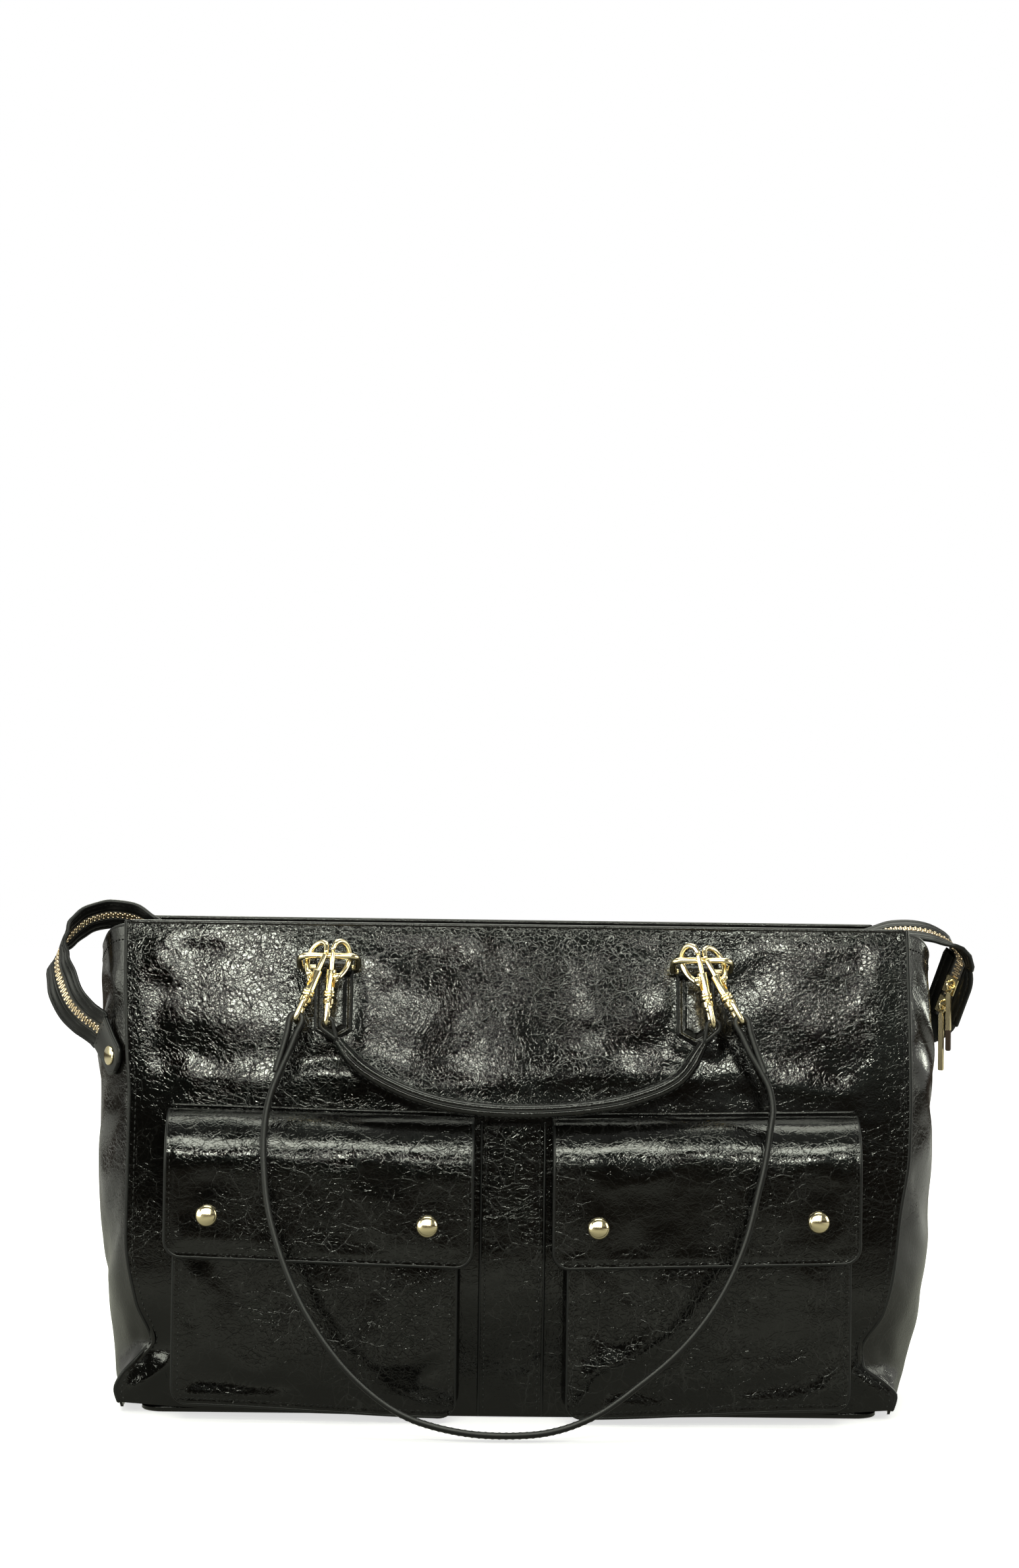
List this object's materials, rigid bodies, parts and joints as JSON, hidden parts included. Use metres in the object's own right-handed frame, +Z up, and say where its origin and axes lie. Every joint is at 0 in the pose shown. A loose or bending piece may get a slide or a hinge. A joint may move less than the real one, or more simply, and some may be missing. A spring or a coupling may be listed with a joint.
{
  "type": "diaper bag",
  "caption": "Wide leather tote with two flap pockets in front, ring-hung carrying handles on snap hooks, a long strap and an overhanging double-slider zip.",
  "frame": {"origin": "on the floor under the middle of the base", "axes": "+Z up, -Y towards the front with the pockets, +X to the right seen from the front"},
  "size_m": [0.5375, 0.2577, 0.2812],
  "materials": {
    "patent_leather": "crinkled patent, very glossy",
    "satin_leather": "satin, painted edges",
    "gold_hardware": "polished pale gold plating",
    "lining_cloth": "plain woven lining",
    "base_board": "matte stiffener board"
  },
  "bodies": {
    "bag": {"front_panel": "patent_leather", "back_panel": "patent_leather", "left_gusset": "patent_leather", "right_gusset": "patent_leather", "base_panel": "patent_leather", "base_board": "base_board", "lining": "lining_cloth", "zip_tape_front": "satin_leather", "zip_tape_back": "satin_leather", "zip_teeth": "gold_hardware", "zip_tab_left": "satin_leather", "zip_tab_right": "satin_leather", "zip_rivet_left": "gold_hardware", "zip_rivet_right": "gold_hardware", "centre_strip": "patent_leather", "left_pocket": "patent_leather", "right_pocket": "patent_leather", "stud_post_left_inner": "gold_hardware", "stud_post_left_outer": "gold_hardware", "stud_post_right_inner": "gold_hardware", "stud_post_right_outer": "gold_hardware", "front_left_tab": "satin_leather", "front_right_tab": "satin_leather", "back_left_tab": "satin_leather", "back_right_tab": "satin_leather"},
    "front_left_ring": {"front_left_ring": "gold_hardware"},
    "front_right_ring": {"front_right_ring": "gold_hardware"},
    "back_left_ring": {"back_left_ring": "gold_hardware"},
    "back_right_ring": {"back_right_ring": "gold_hardware"},
    "front_handle": {"front_handle": "patent_leather", "snap_short_left_eye": "gold_hardware", "snap_short_right_eye": "gold_hardware"},
    "long_strap": {"long_strap": "satin_leather", "snap_long_left_eye": "gold_hardware", "snap_long_right_eye": "gold_hardware"},
    "back_handle": {"back_handle": "patent_leather", "snap_back_left_eye": "gold_hardware", "snap_back_right_eye": "gold_hardware"},
    "left_flap": {"left_flap": "patent_leather", "stud_cap_left_inner": "gold_hardware", "stud_cap_left_outer": "gold_hardware"},
    "right_flap": {"right_flap": "patent_leather", "stud_cap_right_inner": "gold_hardware", "stud_cap_right_outer": "gold_hardware"},
    "snap_long_left_hook": {"snap_long_left_hook": "gold_hardware"},
    "snap_long_left_bolt": {"snap_long_left_bolt": "gold_hardware"},
    "snap_long_right_hook": {"snap_long_right_hook": "gold_hardware"},
    "snap_long_right_bolt": {"snap_long_right_bolt": "gold_hardware"},
    "snap_short_left_hook": {"snap_short_left_hook": "gold_hardware"},
    "snap_short_left_bolt": {"snap_short_left_bolt": "gold_hardware"},
    "snap_short_right_hook": {"snap_short_right_hook": "gold_hardware"},
    "snap_short_right_bolt": {"snap_short_right_bolt": "gold_hardware"},
    "snap_back_left_hook": {"snap_back_left_hook": "gold_hardware"},
    "snap_back_left_bolt": {"snap_back_left_bolt": "gold_hardware"},
    "snap_back_right_hook": {"snap_back_right_hook": "gold_hardware"},
    "snap_back_right_bolt": {"snap_back_right_bolt": "gold_hardware"},
    "zip_slider_1": {"zip_slider_1": "gold_hardware"},
    "zip_pull_1": {"zip_pull_1": "gold_hardware"},
    "zip_slider_2": {"zip_slider_2": "gold_hardware"},
    "zip_pull_2": {"zip_pull_2": "gold_hardware"}
  },
  "joints": [
    {"name": "front_left_ring_tilt", "type": "hinge", "parent": "bag", "child": "front_left_ring", "pos_m": [-0.103, -0.0745, 0.246], "axis": [-1, 0, 0], "range_deg": [0, 42]},
    {"name": "front_right_ring_tilt", "type": "hinge", "parent": "bag", "child": "front_right_ring", "pos_m": [0.103, -0.0745, 0.246], "axis": [-1, 0, 0], "range_deg": [0, 42]},
    {"name": "back_left_ring_tilt", "type": "hinge", "parent": "bag", "child": "back_left_ring", "pos_m": [-0.103, 0.0745, 0.246], "axis": [1, 0, 0], "range_deg": [0, 42]},
    {"name": "back_right_ring_tilt", "type": "hinge", "parent": "bag", "child": "back_right_ring", "pos_m": [0.103, 0.0745, 0.246], "axis": [1, 0, 0], "range_deg": [0, 42]},
    {"name": "front_handle_swing", "type": "hinge", "parent": "front_left_ring", "child": "front_handle", "pos_m": [0, -0.0873, 0.25281], "axis": [-1, 0, 0], "range_deg": [0, 136]},
    {"name": "long_strap_swing", "type": "hinge", "parent": "front_left_ring", "child": "long_strap", "pos_m": [0, -0.0873, 0.25281], "axis": [-1, 0, 0], "range_deg": [0, 128]},
    {"name": "back_handle_swing", "type": "hinge", "parent": "back_left_ring", "child": "back_handle", "pos_m": [0, 0.0873, 0.25281], "axis": [1, 0, 0], "range_deg": [0, 136]},
    {"name": "left_flap_lift", "type": "hinge", "parent": "bag", "child": "left_flap", "pos_m": [0, -0.0826, 0.1668], "axis": [-1, 0, 0], "range_deg": [0, 92]},
    {"name": "right_flap_lift", "type": "hinge", "parent": "bag", "child": "right_flap", "pos_m": [0, -0.0826, 0.1668], "axis": [-1, 0, 0], "range_deg": [0, 92]},
    {"name": "snap_long_left_swivel", "type": "hinge", "parent": "long_strap", "child": "snap_long_left_hook", "pos_m": [-0.11473, -0.09681, 0.22954], "axis": [-0.3746, -0.2007, -0.9052], "range_deg": [-2, 6]},
    {"name": "snap_long_left_bolt_slide", "type": "slide", "parent": "snap_long_left_hook", "child": "snap_long_left_bolt", "axis": [-0.3746, -0.2007, -0.9052], "range_m": [0, 0.005], "stiffness_N_per_m": 60},
    {"name": "snap_long_right_swivel", "type": "hinge", "parent": "long_strap", "child": "snap_long_right_hook", "pos_m": [0.11729, -0.09665, 0.23023], "axis": [0.4695, -0.1911, -0.862], "range_deg": [-6, 2]},
    {"name": "snap_long_right_bolt_slide", "type": "slide", "parent": "snap_long_right_hook", "child": "snap_long_right_bolt", "axis": [0.4695, -0.1911, -0.862], "range_m": [0, 0.005], "stiffness_N_per_m": 60},
    {"name": "snap_short_left_swivel", "type": "hinge", "parent": "front_handle", "child": "snap_short_left_hook", "pos_m": [-0.10228, -0.09368, 0.22863], "axis": [-0.0698, -0.0869, -0.9938], "range_deg": [-6, 3]},
    {"name": "snap_short_left_bolt_slide", "type": "slide", "parent": "snap_short_left_hook", "child": "snap_short_left_bolt", "axis": [-0.0698, -0.0869, -0.9938], "range_m": [0, 0.005], "stiffness_N_per_m": 60},
    {"name": "snap_short_right_swivel", "type": "hinge", "parent": "front_handle", "child": "snap_short_right_hook", "pos_m": [0.10565, -0.09358, 0.2297], "axis": [0.2079, -0.0853, -0.9744], "range_deg": [-3, 6]},
    {"name": "snap_short_right_bolt_slide", "type": "slide", "parent": "snap_short_right_hook", "child": "snap_short_right_bolt", "axis": [0.2079, -0.0853, -0.9744], "range_m": [0, 0.005], "stiffness_N_per_m": 60},
    {"name": "snap_back_left_swivel", "type": "hinge", "parent": "back_handle", "child": "snap_back_left_hook", "pos_m": [-0.10698, 0.09363, 0.2291], "axis": [-0.1392, 0.0863, -0.9865], "range_deg": [-6, 6]},
    {"name": "snap_back_left_bolt_slide", "type": "slide", "parent": "snap_back_left_hook", "child": "snap_back_left_bolt", "axis": [-0.1392, 0.0863, -0.9865], "range_m": [0, 0.005], "stiffness_N_per_m": 60},
    {"name": "snap_back_right_swivel", "type": "hinge", "parent": "back_handle", "child": "snap_back_right_hook", "pos_m": [0.10698, 0.09363, 0.2291], "axis": [0.1392, 0.0863, -0.9865], "range_deg": [-6, 6]},
    {"name": "snap_back_right_bolt_slide", "type": "slide", "parent": "snap_back_right_hook", "child": "snap_back_right_bolt", "axis": [0.1392, 0.0863, -0.9865], "range_m": [0, 0.005], "stiffness_N_per_m": 60},
    {"name": "zip_slider_1_slide", "type": "slide", "parent": "bag", "child": "zip_slider_1", "axis": [0.2353, -0.4291, 0.8721], "range_m": [0, 0.007]},
    {"name": "zip_pull_1_lift", "type": "hinge", "parent": "zip_slider_1", "child": "zip_pull_1", "pos_m": [0.25423, 0.0044, 0.23725], "axis": [-0.8021, 0.5972, 0], "range_deg": [0, 25]},
    {"name": "zip_slider_2_slide", "type": "slide", "parent": "bag", "child": "zip_slider_2", "axis": [0.2353, -0.4291, 0.8721], "range_m": [0, 0.007]},
    {"name": "zip_pull_2_lift", "type": "hinge", "parent": "zip_slider_2", "child": "zip_pull_2", "pos_m": [0.25105, 0.0102, 0.22548], "axis": [-0.8021, 0.5972, 0], "range_deg": [0, 20]}
  ],
  "couplings": [
    {"joint": "front_right_ring_tilt", "follows": "front_left_ring_tilt", "ratio": 1},
    {"joint": "back_right_ring_tilt", "follows": "back_left_ring_tilt", "ratio": 1},
    {"joint": "front_handle_swing", "follows": "long_strap_swing", "ratio": 1.0625},
    {"joint": "left_flap_lift", "follows": "long_strap_swing", "ratio": 0.71875},
    {"joint": "right_flap_lift", "follows": "long_strap_swing", "ratio": 0.71875},
    {"joint": "zip_slider_2_slide", "follows": "zip_slider_1_slide", "ratio": 1}
  ]
}
